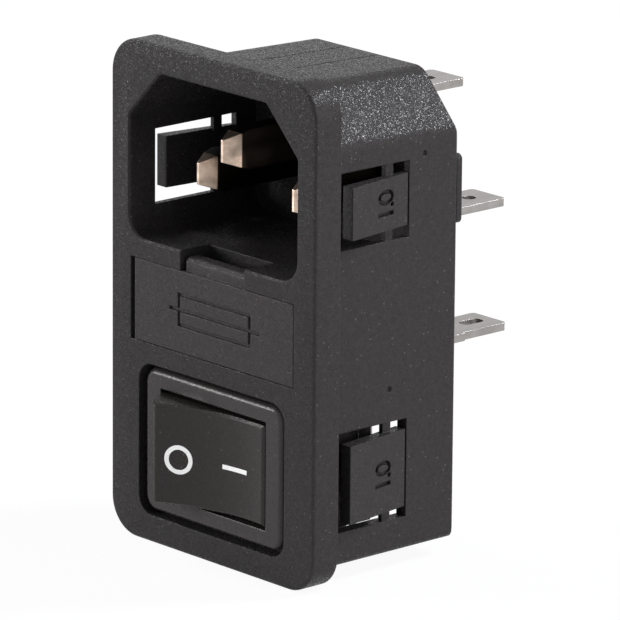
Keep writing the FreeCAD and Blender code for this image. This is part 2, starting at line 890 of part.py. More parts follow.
def build_load_clip():
    """The right fuse clip, whose foot turns back through the housing as the fused blade."""
    body = new_body("load_clip")
    pad(body, "x", clip_inner, clip_outer, clip_outline())
    centre, half = d.loadBladeSide, load_root_half
    foot_top = fuse_level - clip_half + d.clipThick
    pad(body, "y", clip_front, d.channelBack, rectangle(centre - half, centre + half, load_blade_low, foot_top))
    top = channel_bottom
    shoulder = blade_tip - d.loadShoulder
    pad(body, "z", load_blade_low, top, rectangle(centre - half, centre + half, clip_front, shoulder))
    narrow = blade_outline(centre, d.bladeWidth / 2, shoulder - d.bladeCorner)
    pad(body, "z", load_blade_low, top, narrow)
    near = blade_tip - d.loadSlotBack
    far = near - d.loadSlot
    slot = rectangle(centre - d.bladeHole, centre + d.bladeHole, far, near)
    pocket(body, "z", load_blade_low, top, slot)
    corners = [(centre + side * d.bladeHole, y) for side in (-1, 1) for y in (near, far)]
    round_corners(body, d.loadSlotRound, "z", load_blade_low, top, corners)
    bevel_tip(body, centre, top)


# ---- fuses and their drawer ----


def add_cylinder(name, length, radius, start, y, z):
    """A cylinder along X."""
    rod = doc.addObject("Part::Cylinder", name)
    bind(rod, "Height", length)
    bind(rod, "Radius", radius)
    rod.Placement = FreeCAD.Placement(Vector(), FreeCAD.Rotation(Vector(0, 1, 0), 90))
    bind(rod, "Placement.Base.x", start)
    bind(rod, "Placement.Base.y", y)
    bind(rod, "Placement.Base.z", z)
    return rod


def subtract(label, base, tool, keep=True):
    cut = doc.addObject("Part::Cut", label)
    cut.Label = label
    cut.Base, cut.Tool = base, tool
    if keep:
        pieces[label] = cut
    return cut


def build_fuse(prefix, y, z):
    """A glass cartridge fuse: tube, two end caps and the wire between them."""
    half = fuse_half
    glass_half = half - d.fuseCapEnd
    bore = d.fuseRadius - d.fuseCapWall
    outer = add_cylinder(f"{prefix}_glass_outer", glass_half * 2, bore, -glass_half, y, z)
    inner = add_cylinder(
        f"{prefix}_glass_inner", glass_half * 2, bore - d.fuseGlassWall, -glass_half, y, z
    )
    subtract(f"{prefix}_fuse_glass", outer, inner)
    for side, start, cup_start in (
        ("left", -half, -glass_half),
        ("right", half - d.fuseCapLength, half - d.fuseCapLength),
    ):
        name = f"{prefix}_fuse_cap_{side}"
        cap = add_cylinder(f"{name}_outer", d.fuseCapLength, d.fuseRadius, start, y, z)
        cup = add_cylinder(
            f"{name}_inner", d.fuseCapLength - d.fuseCapEnd, bore, cup_start, y, z
        )
        subtract(name, cap, cup)
    wire = add_cylinder(
        f"{prefix}_fuse_wire", glass_half * 2, d.fuseWireRadius, -glass_half, y, z
    )
    wire.Label = f"{prefix}_fuse_wire"
    pieces[wire.Label] = wire


def build_drawer():
    """The fuse drawer: a front plate with a pull lip, a trough for the spare and a cradle for the main fuse."""
    body = new_body("fuse_drawer")
    plate_left = -bay_half + d.plateGapLeft
    plate_right = bay_half - d.plateGapRight
    plate_low, plate_high = bay_bottom + d.plateGap, bay_top - d.plateGap
    pad(body, "y", front, plate_back, rectangle(plate_left, plate_right, plate_low, plate_high))
    low, high = spot(plate_left, front, plate_low), spot(plate_right, front, plate_high)
    dress(body, "Fillet", d.plateEdge, edges_on_plane(body.Shape, "y", front, low, high))
    lip_front = front + d.lipSetback
    lip_top = plate_high + d.lipRise
    lip_left = -d.lipPocketLeft + d.lipGap
    lip_right = d.lipPocketRight - d.plateGapRight
    lip = rectangle(lip_left, lip_right, plate_high - d.lipRound, lip_top)
    pad(body, "y", lip_front, lip_front + d.lipThick, lip)
    ridge = [(spot(lip_left, lip_front, lip_top), spot(lip_right, lip_front, lip_top))]
    dress(body, "Fillet", d.lipRound, edges_between(body.Shape, ridge))
    tall = d.channelHeight / 2 - d.trayHeadroom
    block = rectangle(-tray_half, tray_half, fuse_level - tall, fuse_level + tall)
    pad(body, "y", plate_back, spare_back, block)
    pocket(body, "x", -trough_half, trough_half, Circle(spare_axis, fuse_level, fuse_room))
    mouth = rectangle(spare_axis - fuse_room, spare_axis + fuse_room, fuse_level, fuse_level + tall)
    pocket(body, "x", -trough_half, trough_half, mouth)
    cheek = d.cheekHeight / 2
    side_wall = rectangle(plate_back, clip_front - d.trayBackFit, fuse_level - cheek, fuse_level + cheek)
    pad(body, "x", -tray_half, -trough_half, side_wall)
    pad(body, "x", trough_half, tray_half, side_wall)
    cradle = d.cradleWidth / 2
    cradle_back = main_axis + d.cradleReach
    pad(body, "x", -cradle, cradle, rectangle(spare_back, cradle_back, fuse_level - tall, fuse_level + tall))
    pocket(body, "x", -cradle, cradle, Circle(main_axis, fuse_level, fuse_room))
    grip = d.fuseRadius - d.cradleGrip
    mouth = rectangle(main_axis, cradle_back + MARGIN, fuse_level - grip, fuse_level + grip)
    pocket(body, "x", -cradle, cradle, mouth)


# ---- rocker switch ----


def build_switch_frame():
    """Bezel and sleeve in one moulding, with a curved window for the rocker."""
    body = new_body("switch_frame")
    half = recess_half - d.bezelSideGap
    low_z, high_z = recess_bottom + d.bezelEndGap, recess_top - d.bezelEndGap
    pad(body, "y", bezel_front, ledge_front, rectangle(-half, half, low_z, high_z))
    corners = [(side * half, level) for side in (-1, 1) for level in (low_z, high_z)]
    round_corners(body, d.bezelRound, "y", bezel_front, ledge_front, corners)
    low, high = spot(-half, bezel_front, low_z), spot(half, bezel_front, high_z)
    dress(body, "Fillet", d.bezelEdge, edges_on_plane(body.Shape, "y", bezel_front, low, high))
    low_z, high_z = switch_level - sleeve_tall, switch_level + sleeve_tall
    pad(body, "y", ledge_front, d.sleeveBack, rectangle(-sleeve_half, sleeve_half, low_z, high_z))
    pivot = Circle(0, d.pivotDepth, d.pivotRadius + d.pivotFit)
    pocket(body, "z", low_z, high_z, pivot)
    low_z, high_z = switch_level - window_tall, switch_level + window_tall
    pocket(body, "z", low_z, high_z, Circle(0, d.pivotDepth, window_radius))
    room = rectangle(-window_radius, window_radius, d.pivotDepth, d.sleeveBack)
    pocket(body, "z", low_z, high_z, room)
    ear = d.earHeight / 2
    ear_front = ledge_back + d.earFit
    for sign in (-1, 1):
        wedge = [
            (sign * sleeve_half, ear_front),
            (sign * (sleeve_half + d.earProud), ear_front),
            (sign * sleeve_half, ear_front + d.earLength),
        ]
        pad(body, "z", switch_level - ear, switch_level + ear, wedge)


def build_rocker():
    """The rocker: end faces turned about its pivot, a dished face, a hollow underside and two trunnions."""
    height = d.rockerHeight
    drum = doc.addObject("Part::Cylinder", "rocker_drum")
    bind(drum, "Radius", d.rockerRadius)
    bind(drum, "Height", height)
    bind(drum, "Placement.Base.z", -height / 2)
    slab = add_block(
        "rocker_slab",
        (-d.rockerRadius, d.rockerRadius),
        (-d.rockerFace, d.rockerSkirt),
        (-height / 2, height / 2),
    )
    outer = doc.addObject("Part::Common", "rocker_outer")
    outer.Base, outer.Tool = drum, slab
    face_half = root(d.rockerRadius * d.rockerRadius - d.rockerFace * d.rockerFace)
    dish_radius = (face_half * face_half + d.rockerDish * d.rockerDish) / (2 * d.rockerDish)
    dish = doc.addObject("Part::Cylinder", "rocker_dish")
    bind(dish, "Radius", dish_radius)
    bind(dish, "Height", height + 2 * MARGIN)
    bind(dish, "Placement.Base.y", -d.rockerFace + d.rockerDish - dish_radius)
    bind(dish, "Placement.Base.z", -height / 2 - MARGIN)
    dished = subtract("rocker_dished", outer, dish, keep=False)
    doc.recompute()
    edged = doc.addObject("Part::Chamfer", "rocker_edged")
    edged.Base = dished
    edged.Edges = [(number, d.rockerEdge.value, d.rockerEdge.value) for number in face_edges(dished.Shape)]
    doc.recompute()
    well_drum = doc.addObject("Part::Cylinder", "rocker_well_drum")
    bind(well_drum, "Radius", d.rockerRadius - d.rockerSkin)
    bind(well_drum, "Height", height - 2 * d.rockerSkin)
    bind(well_drum, "Placement.Base.z", -height / 2 + d.rockerSkin)
    floor_front = -d.rockerFace + d.rockerDish + d.rockerSkin
    well_slab = add_block(
        "rocker_well_slab",
        (-d.rockerRadius, d.rockerRadius),
        (floor_front, d.rockerSkirt + MARGIN),
        (-height / 2, height / 2),
    )
    well = doc.addObject("Part::Common", "rocker_well")
    well.Base, well.Tool = well_drum, well_slab
    hollow = subtract("rocker_hollow", edged, well, keep=False)
    tube = add_rod("rocker_tube", tube_radius, (floor_front - MARGIN, d.tubeBack))
    axle = doc.addObject("Part::Cylinder", "rocker_axle")
    reach = height / 2 + d.pivotLength
    bind(axle, "Radius", d.pivotRadius)
    bind(axle, "Height", reach * 2)
    bind(axle, "Placement.Base.z", -reach)
    inner_gap = add_block(
        "rocker_axle_gap",
        (-d.rockerRadius, d.rockerRadius),
        (-d.rockerRadius, d.rockerRadius),
        (-height / 2 + d.rockerSkin, height / 2 - d.rockerSkin),
    )
    ears = subtract("rocker_trunnions", axle, inner_gap, keep=False)
    lug_half = d.pivotRadius + d.rockerSkin
    lugs = [
        add_block(
            f"rocker_lug_{name}",
            (-lug_half, lug_half),
            (0, lug_half),
            ends,
        )
        for name, ends in (
            ("low", (-height / 2, -height / 2 + d.rockerSkin)),
            ("high", (height / 2 - d.rockerSkin, height / 2)),
        )
    ]
    solid = doc.addObject("Part::MultiFuse", "rocker_solid")
    solid.Shapes = [hollow, tube, ears, *lugs]
    bore = add_rod("rocker_bore", bore_radius, (-d.boreFront, d.tubeBack + MARGIN))
    rocker = subtract("rocker", solid, bore)
    tilt_about_pivot(rocker, d.pivotDepth, d.rockerTilt)


def add_block(name, x, y, z):
    """A box between two places on each axis."""
    block = doc.addObject("Part::Box", name)
    for length, axis, (low, high) in zip(("Length", "Width", "Height"), "xyz", (x, y, z)):
        bind(block, length, as_size(high) - low)
        bind(block, f"Placement.Base.{axis}", low)
    return block


def add_rod(name, radius, y):
    """A cylinder along Y."""
    low, high = y
    rod = doc.addObject("Part::Cylinder", name)
    bind(rod, "Radius", radius)
    bind(rod, "Height", high - low)
    rod.Placement = FreeCAD.Placement(Vector(), FreeCAD.Rotation(Vector(1, 0, 0), -90))
    bind(rod, "Placement.Base.y", low)
    return rod


def face_edges(shape):
    """Numbers of the edges round the rocker's dished face."""
    limit = -(d.rockerFace - d.rockerDish).value + 0.01
    return [
        number
        for number, edge in enumerate(shape.Edges, start=1)
        if edge.BoundBox.YMax < limit
    ]


def tilt_about_pivot(piece, depth, angle):
    """Stand a piece that was drawn about its pivot in the switch, turned about Z."""
    piece.Placement = FreeCAD.Placement(
        Vector(0, as_size(depth).value, switch_level.value),
        FreeCAD.Rotation(Vector(0, 0, 1), as_size(angle).value),
    )
    bind(piece, "Placement.Base.y", depth)
    bind(piece, "Placement.Base.z", switch_level)
    bind(piece, "Placement.Rotation.Angle", angle)


def build_plunger():
    """The sprung plunger: a pin with a ball nose that rides in the lever's vee."""
    rod = add_rod("plunger_rod", d.plungerRadius, (d.plungerFront, d.plungerReach))
    nose = doc.addObject("Part::Sphere", "plunger_nose")
    bind(nose, "Radius", d.plungerRadius)
    bind(nose, "Placement.Base.y", d.plungerReach)
    plunger = doc.addObject("Part::MultiFuse", "plunger")
    plunger.Label = "plunger"
    plunger.Shapes = [rod, nose]
    plunger.Refine = True
    pieces["plunger"] = plunger
    tilt_about_pivot(plunger, d.pivotDepth, d.rockerTilt)


def build_spring():
    """The coil spring behind the plunger, lofted through sections set round its axis."""
    steps = 10
    corners = 5
    radius, wire = (bore_radius - d.springGap - d.springWire).value, d.springWire.value
    start = -d.boreFront.value + wire
    length = (d.boreFront + d.plungerFront).value - 2 * wire
    count = round(steps * length / d.springPitch.value)
    sections = []
    for step in range(count + 1):
        turn = 2 * math.pi * step / steps
        outward = Vector(math.cos(turn), 0, math.sin(turn))
        centre = outward * radius + Vector(0, start + length * step / count, 0)
        ring = []
        for corner in range(corners + 1):
            angle = 2 * math.pi * corner / corners
            ring.append(centre + outward * (wire * math.cos(angle)) + Vector(0, wire * math.sin(angle), 0))
        sections.append(Part.makePolygon(ring))
    coil = doc.addObject("Part::Feature", "plunger_spring")
    coil.Label = "plunger_spring"
    coil.Shape = Part.makeLoft(sections, True, True)
    pieces["plunger_spring"] = coil
    tilt_about_pivot(coil, d.pivotDepth, d.rockerTilt)


def build_lever():
    """The contact lever: a shallow vee rocking on the common terminal's edge."""
    body = new_body("contact_lever")
    rise = d.leverReach * tangent(d.leverVee)
    thick = d.leverThick / cosine(d.leverVee)
    half = d.leverWidth / 2
    vee = [
        (0, 0),
        (d.leverReach, -rise),
        (d.leverReach, -rise - thick),
        (0, -thick),
        (-d.leverReach, -rise - thick),
        (-d.leverReach, -rise),
    ]
    pad(body, "z", -half, half, vee)
    tilt_about_pivot(body, lever_pivot, -d.leverTilt)
    contact = add_rod("moving_contact_disc", d.contactRadius, (0, d.contactThick))
    doc.recompute()
    rounded = doc.addObject("Part::Chamfer", "moving_contact")
    rounded.Label = "moving_contact"
    rounded.Base = contact
    rim = [
        number
        for number, edge in enumerate(contact.Shape.Edges, start=1)
        if edge.BoundBox.YMin > d.contactThick.value / 2
    ]
    rounded.Edges = [(number, d.contactEdge.value, d.contactEdge.value) for number in rim]
    pieces["moving_contact"] = rounded
    arm = d.leverVee - d.leverTilt
    rounded.Placement = FreeCAD.Placement(
        Vector(
            -d.contactSpot.value,
            (lever_pivot - d.contactSpot * tangent(arm)).value,
            switch_level.value,
        ),
        FreeCAD.Rotation(Vector(0, 0, 1), arm.value),
    )
    bind(rounded, "Placement.Base.x", -d.contactSpot)
    bind(rounded, "Placement.Base.y", lever_pivot - d.contactSpot * tangent(arm))
    bind(rounded, "Placement.Base.z", switch_level)
    bind(rounded, "Placement.Rotation.Angle", arm)


def build_switch_base():
    """The base that closes the sleeve and holds the switch's terminals."""
    body = new_body("switch_base")
    plate = rectangle(-sleeve_half, sleeve_half, switch_level - sleeve_tall, switch_level + sleeve_tall)
    pad(body, "y", d.sleeveBack, base_back, plate)
    half, tall = window_radius - d.baseFit, window_tall - d.baseFit
    boss = rectangle(-half, half, switch_level - tall, switch_level + tall)
    pad(body, "y", boss_front, d.sleeveBack, boss)
    stop = rectangle(
        d.stopSpot - d.stopWidth,
        d.stopSpot,
        switch_level - d.leverWidth / 2,
        switch_level + d.leverWidth / 2,
    )
    pad(body, "y", boss_front - d.stopHeight, boss_front, stop)
    low, high = switch_level - d.bladeWidth / 2, switch_level + d.bladeWidth / 2
    for side in (0, -d.loadTerminalSide):
        slot = rectangle(side - d.bladeThick / 2, side + d.bladeThick / 2, low, high)
        pocket(body, "y", boss_front, base_back, slot)
    foot = rectangle(
        -d.loadTerminalSide - d.bladeThick / 2,
        -d.loadTerminalSide + d.footReach,
        low,
        high,
    )
    pocket(body, "y", boss_front, foot_front + d.footThick, foot)


def add_switch_blade(body, side, root):
    """A switch terminal's blade: width along Z, a clipped tip and a hole."""
    half = d.bladeWidth / 2
    tip = terminal_tip
    outline = [
        (root, switch_level - half),
        (tip - d.bladeCorner, switch_level - half),
        (tip, switch_level - half + d.bladeCorner),
        (tip, switch_level + half - d.bladeCorner),
        (tip - d.bladeCorner, switch_level + half),
        (root, switch_level + half),
    ]
    low, high = side - d.bladeThick / 2, side + d.bladeThick / 2
    pad(body, "x", low, high, outline)
    pocket(body, "x", low, high, Circle(tip - d.bladeHoleBack, switch_level, d.bladeHole))


def build_terminals():
    """The common terminal under the lever, and the load terminal with the fixed contact."""
    common = new_body("common_terminal")
    add_switch_blade(common, as_size(0), boss_front)
    half = d.terminalEdgeWidth / 2
    edge = rectangle(edge_front, boss_front, switch_level - half, switch_level + half)
    pad(common, "x", -d.bladeThick / 2, d.bladeThick / 2, edge)
    load = new_body("load_terminal")
    add_switch_blade(load, -d.loadTerminalSide, foot_front)
    tall = d.bladeWidth / 2
    foot = rectangle(
        -d.loadTerminalSide - d.bladeThick / 2,
        -d.loadTerminalSide + d.footReach,
        switch_level - tall,
        switch_level + tall,
    )
    pad(load, "y", foot_front, foot_front + d.footThick, foot)
    contact = new_body("fixed_contact")
    disc = Circle(-d.contactSpot, switch_level, d.fixedContactRadius)
    pad(contact, "y", foot_front - d.fixedContactThick, foot_front, disc)


# ---- build, check and write ----


def check_document():
    """Stop if any object failed or any piece is empty or broken."""
    for item in doc.Objects:
        if "Invalid" in item.State or "Error" in item.State:
            raise RuntimeError(f"{item.Label} did not build: {item.State}")
    for label, piece in pieces.items():
        shape = piece.Shape
        if shape.isNull() or not shape.isValid() or not shape.Solids:
            raise RuntimeError(f"{label} has no valid solid")


def write_parts():
    os.makedirs("parts", exist_ok=True)
    for label, piece in pieces.items():
        piece.Shape.exportStep(f"parts/{label}.step")
        print(f"{label}: {len(piece.Shape.Solids)} solid, {piece.Shape.Volume:.2f} mm3")


build_housing()
build_carrier()
build_pin("earth_pin", as_size(0), d.earthRise, d.earthTip)
build_pin("neutral_pin", pin_side, pin_level, d.pinTip)
build_pin("line_pin", -pin_side, pin_level, d.pinTip)
earth_top = d.earthRise + d.earthBladeRise
neutral_top = pin_level - d.neutralBladeDrop
build_bent_blade("earth_blade", as_size(0), earth_top, (d.earthRise - d.strapEnd, earth_top), (0, d.earthRise))
build_bent_blade(
    "neutral_blade",
    pin_side - d.neutralBladeShift,
    neutral_top,
    (neutral_top - d.bladeThick, pin_level + d.strapEnd),
    (pin_side, pin_level),
)
build_line_parts()
build_load_clip()
build_drawer()
build_fuse("main", main_axis - d.fuseFit, fuse_level)
build_fuse("spare", spare_axis, fuse_level - d.fuseFit)
build_switch_frame()
build_rocker()
build_plunger()
build_spring()
build_lever()
build_switch_base()
build_terminals()
doc.recompute()
check_document()
write_parts()
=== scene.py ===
import json
import math

import bmesh
import bpy
from mathutils import Matrix, Vector


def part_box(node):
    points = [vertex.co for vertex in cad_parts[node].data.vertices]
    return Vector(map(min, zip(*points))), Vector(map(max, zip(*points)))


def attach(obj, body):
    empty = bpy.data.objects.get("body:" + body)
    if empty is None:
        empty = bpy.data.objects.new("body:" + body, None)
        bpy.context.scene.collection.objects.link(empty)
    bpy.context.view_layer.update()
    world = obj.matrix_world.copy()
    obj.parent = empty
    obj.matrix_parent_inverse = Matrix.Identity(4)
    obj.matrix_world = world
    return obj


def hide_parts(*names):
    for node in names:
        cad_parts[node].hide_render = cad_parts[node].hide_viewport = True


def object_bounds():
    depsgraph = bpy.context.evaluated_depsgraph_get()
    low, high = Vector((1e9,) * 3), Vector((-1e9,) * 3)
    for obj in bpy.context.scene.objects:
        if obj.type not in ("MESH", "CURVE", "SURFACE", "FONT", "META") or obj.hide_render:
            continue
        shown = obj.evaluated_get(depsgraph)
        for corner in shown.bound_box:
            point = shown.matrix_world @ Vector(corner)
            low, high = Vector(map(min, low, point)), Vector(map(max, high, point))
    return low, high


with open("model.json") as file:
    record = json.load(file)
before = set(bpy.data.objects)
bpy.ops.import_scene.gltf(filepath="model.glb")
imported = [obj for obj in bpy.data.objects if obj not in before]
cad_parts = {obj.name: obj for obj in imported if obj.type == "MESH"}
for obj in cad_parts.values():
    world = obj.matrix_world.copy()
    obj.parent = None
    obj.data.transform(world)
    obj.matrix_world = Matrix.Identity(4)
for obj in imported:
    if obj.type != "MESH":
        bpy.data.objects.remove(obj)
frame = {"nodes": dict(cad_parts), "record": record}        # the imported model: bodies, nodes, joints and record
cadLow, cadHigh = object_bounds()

nodes = frame["nodes"]
scene = bpy.context.scene
mm = 0.001


def link(name, mesh):
    piece = bpy.data.objects.new(name, mesh)
    scene.collection.objects.link(piece)
    return piece


# where the camera stands, in metres, and how it is turned
cameraView = {
    "place": (0.46893, -0.41115, 0.15686),
    "right": (0.66619, 0.74575, 0.00762),
    "up": (-0.20202, 0.17062, 0.96440),
    "lens": 386.0,
    "sensor": 36.0,
    "clip": (0.05, 20.0),
}
stage = {
    "floorSize": 4.0,
    "floorColor": (0.9, 0.9, 0.9),
    "floorLift": 0.93,  # how much of the floor's white is not shaded
    "roomColor": (0.94, 0.95, 0.97),
    "roomStrength": 0.27,
    "floorRoughness": 0.9,
}
# the soft lamps, all aimed at the module's middle
lamps = {
    "overhead": {"place": (0.05, 0.02, 0.60), "size": 0.40, "power": 0.1, "tint": (1.0, 1.0, 1.0)},
    "frontLeft": {"place": (-0.43, -0.43, 0.11), "size": 0.22, "power": 2.7, "tint": (1.0, 0.985, 0.985)},
    "leftTop": {"place": (-0.44, -0.07, 0.38), "size": 0.12, "power": 1.2, "tint": (1.0, 1.0, 1.0)},
    "backRim": {"place": (0.24, 0.42, 0.43), "size": 0.13, "power": 3.9, "tint": (0.93, 0.95, 1.0)},
    "rightSide": {"place": (0.56, 0.10, 0.10), "size": 0.26, "power": 2.4, "tint": (1.0, 0.985, 0.99)},
}


def addCamera():
    right, up = Vector(cameraView["right"]).normalized(), Vector(cameraView["up"]).normalized()
    back = right.cross(up).normalized()
    up = back.cross(right)
    data = bpy.data.cameras.new("mainCamera")
    data.lens, data.sensor_width = cameraView["lens"], cameraView["sensor"]
    data.clip_start, data.clip_end = cameraView["clip"]
    camera = link("mainCamera", data)
    turn = Matrix((right, up, back)).transposed().to_4x4()
    camera.matrix_world = Matrix.Translation(cameraView["place"]) @ turn
    scene.camera = camera


def addLamps(middle):
    for name, lamp in lamps.items():
        data = bpy.data.lights.new(name, "AREA")
        data.energy, data.size, data.color = lamp["power"], lamp["size"], lamp["tint"]
        data.shape = "SQUARE"
        light = link(name, data)
        light.location = lamp["place"]
        light.rotation_euler = (middle - light.location).to_track_quat("-Z", "Y").to_euler()


class Value:
    # a shader socket that can be used in sums
    def __init__(self, recipe, socket):
        self.recipe, self.socket = recipe, socket

    def maths(self, operation, first, second):
        return self.recipe.node("ShaderNodeMath", {"operation": operation}, {0: first, 1: second}).out()

    def __add__(self, other):
        return self.maths("ADD", self, other)

    def __sub__(self, other):
        return self.maths("SUBTRACT", self, other)

    def __rsub__(self, other):
        return self.maths("SUBTRACT", other, self)

    def __mul__(self, other):
        return self.maths("MULTIPLY", self, other)

    __radd__, __rmul__ = __add__, __mul__

    def most(self, other):
        return self.maths("MAXIMUM", self, other)

    def clamped(self, low, high):
        # 0 below low, 1 above high
        ramp = {"interpolation_type": "SMOOTHSTEP"}
        return self.recipe.node("ShaderNodeMapRange", ramp, {0: self, 1: low, 2: high}).out()


class Step:
    # a node whose outputs can be read by name or number
    def __init__(self, recipe, node):
        self.recipe, self.node = recipe, node

    def out(self, key=0):
        return Value(self.recipe, self.node.outputs[key])


edgeSamples = 6


class Recipe:
    # a material with one principled shader
    def __init__(self, name, color, roughness, metallic=0.0):
        self.material = bpy.data.materials.new(name)
        self.material.use_nodes = True
        self.tree = self.material.node_tree
        self.shader = self.tree.nodes["Principled BSDF"]
        self.set("Base Color", (*color, 1.0))
        self.set("Roughness", roughness)
        self.set("Metallic", metallic)
        self.place = self.node("ShaderNodeTexCoord").out("Object")

    def put(self, socket, value):
        if isinstance(value, Value):
            self.tree.links.new(value.socket, socket)
        else:
            socket.default_value = value

    def set(self, socket, value):
        self.put(self.shader.inputs[socket], value)

    def node(self, kind, settings=None, values=None):
        node = self.tree.nodes.new(kind)
        for name, value in (settings or {}).items():
            setattr(node, name, value)
        for key, value in (values or {}).items():
            self.put(node.inputs[key], value)
        return Step(self, node)

    def noise(self, scale, detail=2.0, roughness=0.5, place=None):
        values = {"Vector": place or self.place, "Scale": scale, "Detail": detail, "Roughness": roughness}
        return self.node("ShaderNodeTexNoise", None, values).out("Fac")

    def cells(self, scale):
        return self.node("ShaderNodeTexVoronoi", None, {"Vector": self.place, "Scale": scale})

    def stretched(self, scale):
        return self.node("ShaderNodeMapping", None, {"Vector": self.place, "Scale": scale}).out()

    def mix(self, factor, first, second):
        first, second = (one if isinstance(one, Value) else (*one, 1.0) for one in (first, second))
        values = {0: factor, 6: first, 7: second}
        return self.node("ShaderNodeMix", {"data_type": "RGBA"}, values).out(2)

    def relief(self, height, distance, edge):
        # a fine relief over edges that are softened by a radius
        soft = self.node("ShaderNodeBevel", {"samples": edgeSamples}, {"Radius": edge}).out()
        values = {"Height": height, "Distance": distance, "Strength": 1.0, "Normal": soft}
        return self.node("ShaderNodeBump", None, values).out()

    def vector(self, operation, *inputs):
        return self.node("ShaderNodeVectorMath", {"operation": operation}, dict(enumerate(inputs))).out()

    def leaning(self, normal, random, amount):
        # each grain is a small flat facet with a lean of its own
        centred = self.vector("SUBTRACT", random, (0.5, 0.5, 0.5))
        lean = self.vector("MULTIPLY", centred, (amount, amount, amount))
        return self.vector("NORMALIZE", self.vector("ADD", normal, lean))


def makeFloor(height):
    bm = bmesh.new()
    bmesh.ops.create_grid(bm, x_segments=1, y_segments=1, size=stage["floorSize"])
    bmesh.ops.translate(bm, verts=bm.verts, vec=(0, 0, height))
    mesh = bpy.data.meshes.new("floor")
    bm.to_mesh(mesh)
    bm.free()
    floor = link("floor", mesh)
    recipe = Recipe("paleFloor", stage["floorColor"], stage["floorRoughness"])
    tree = recipe.tree
    glow = recipe.node("ShaderNodeEmission", None, {"Color": (1, 1, 1, 1), "Strength": 1.0})
    path = recipe.node("ShaderNodeLightPath")
    seen = path.out("Is Camera Ray").most(path.out("Is Glossy Ray")).most(path.out("Is Transmission Ray"))
    mixer = recipe.node("ShaderNodeMixShader", None, {0: seen * stage["floorLift"]})
    tree.links.new(recipe.shader.outputs[0], mixer.node.inputs[1])
    tree.links.new(glow.node.outputs[0], mixer.node.inputs[2])
    tree.links.new(mixer.node.outputs[0], tree.nodes["Material Output"].inputs["Surface"])
    mesh.materials.append(recipe.material)


def makeRoom():
    world = bpy.data.worlds.new("paleRoom")
    world.use_nodes = True
    scene.world = world
    tree = world.node_tree
    tree.nodes.clear()
    output = tree.nodes.new("ShaderNodeOutputWorld")
    path = tree.nodes.new("ShaderNodeLightPath")
    soft, white = tree.nodes.new("ShaderNodeBackground"), tree.nodes.new("ShaderNodeBackground")
    soft.inputs[0].default_value = (*stage["roomColor"], 1.0)
    soft.inputs[1].default_value = stage["roomStrength"]
    white.inputs[0].default_value = (1, 1, 1, 1)
    seen = path.outputs["Is Camera Ray"]
    for ray in ("Is Glossy Ray", "Is Transmission Ray"):
        either = tree.nodes.new("ShaderNodeMath")
        either.operation = "MAXIMUM"
        tree.links.new(seen, either.inputs[0])
        tree.links.new(path.outputs[ray], either.inputs[1])
        seen = either.outputs[0]
    mixer = tree.nodes.new("ShaderNodeMixShader")
    tree.links.new(seen, mixer.inputs[0])
    tree.links.new(soft.outputs[0], mixer.inputs[1])
    tree.links.new(white.outputs[0], mixer.inputs[2])
    tree.links.new(mixer.outputs[0], output.inputs["Surface"])


addCamera()
addLamps((cadLow + cadHigh) / 2)
makeFloor(cadLow.z)
makeRoom()
scene.view_settings.view_transform = "Standard"
print("stage ready")


# scales are per metre and depths are in metres
# the housing is moulded against spark-eroded steel, so it glitters in a raking light
sparkPlastic = {
    "color": (0.0275, 0.025, 0.0252),
    "darkColor": (0.0175, 0.016, 0.0162),
    "fleckColor": (0.13, 0.127, 0.123),
    "roughness": 0.66,
    "glintRoughness": 0.17,
    "gloss": 0.13,
    "grainScale": 11500.0,
    "grainDepth": 0.0000035,
    "sparkle": 0.33,  # how far each grain leans
    "fleckScale": 1300.0,
    "edge": 0.0002,
}
# the switch is moulded against polished steel
smoothPlastic = {
    "color": (0.0305, 0.0272, 0.0268),
    "darkColor": (0.0245, 0.022, 0.0215),
    "fleckColor": (0.08, 0.08, 0.08),
    "roughness": 0.29,
    "glintRoughness": 0.2,
    "gloss": 0.2,
    "grainScale": 7000.0,
    "grainDepth": 0.000004,
    "sparkle": 0.09,
    "fleckScale": 900.0,
    "edge": 0.0002,
}
drawerPlastic = {**sparkPlastic, "color": (0.0365, 0.033, 0.033), "darkColor": (0.026, 0.0238, 0.0238)}
rockerPlastic = {**smoothPlastic, "color": (0.026, 0.0222, 0.0215), "darkColor": (0.0205, 0.0175, 0.017)}
bezelPlastic = {**smoothPlastic, "color": (0.037, 0.0335, 0.033), "darkColor": (0.0305, 0.0275, 0.027)}
basePlastic = {**smoothPlastic, "color": (0.024, 0.023, 0.023), "roughness": 0.5}
# the mottle, flecks and grains that all the plastics share
mottle = {
    "fineScale": 0.8,  # times the grain's scale, as is glintScale
    "glintScale": 0.93,
    "glintRange": (0.4, 0.8),
    "cloudScale": 1900.0,
    "cloudShare": 0.35,
    "toneRange": (0.34, 0.66),
    "fleckRange": (0.05, 0.11),
    "fleckStrength": 0.8,
    "fineHeight": 0.6,
    "grainHeight": 0.7,
}
tinned = {"color": (0.34, 0.325, 0.315), "darkColor": (0.26, 0.245, 0.235), "roughness": 0.36}
nickelled = {"color": (0.92, 0.74, 0.60), "darkColor": (0.42, 0.31, 0.24), "roughness": 0.36}
# painted shade: the near-black colour that the pins get behind their taper, inside the cavity
pinCavityShade = {"color": (0.026, 0.021, 0.018), "taper": 0.0019, "fade": 0.0001}
copper = {"color": (0.62, 0.36, 0.23), "darkColor": (0.42, 0.22, 0.14), "roughness": 0.35}
silver = {"color": (0.74, 0.73, 0.70), "darkColor": (0.55, 0.53, 0.49), "roughness": 0.3}
steel = {"color": (0.50, 0.50, 0.50), "darkColor": (0.36, 0.36, 0.36), "roughness": 0.3}
capMetal = {"color": (0.62, 0.60, 0.55), "darkColor": (0.46, 0.43, 0.38), "roughness": 0.22}
fuseWire = {"color": (0.6, 0.6, 0.58), "darkColor": (0.45, 0.45, 0.43), "roughness": 0.4}
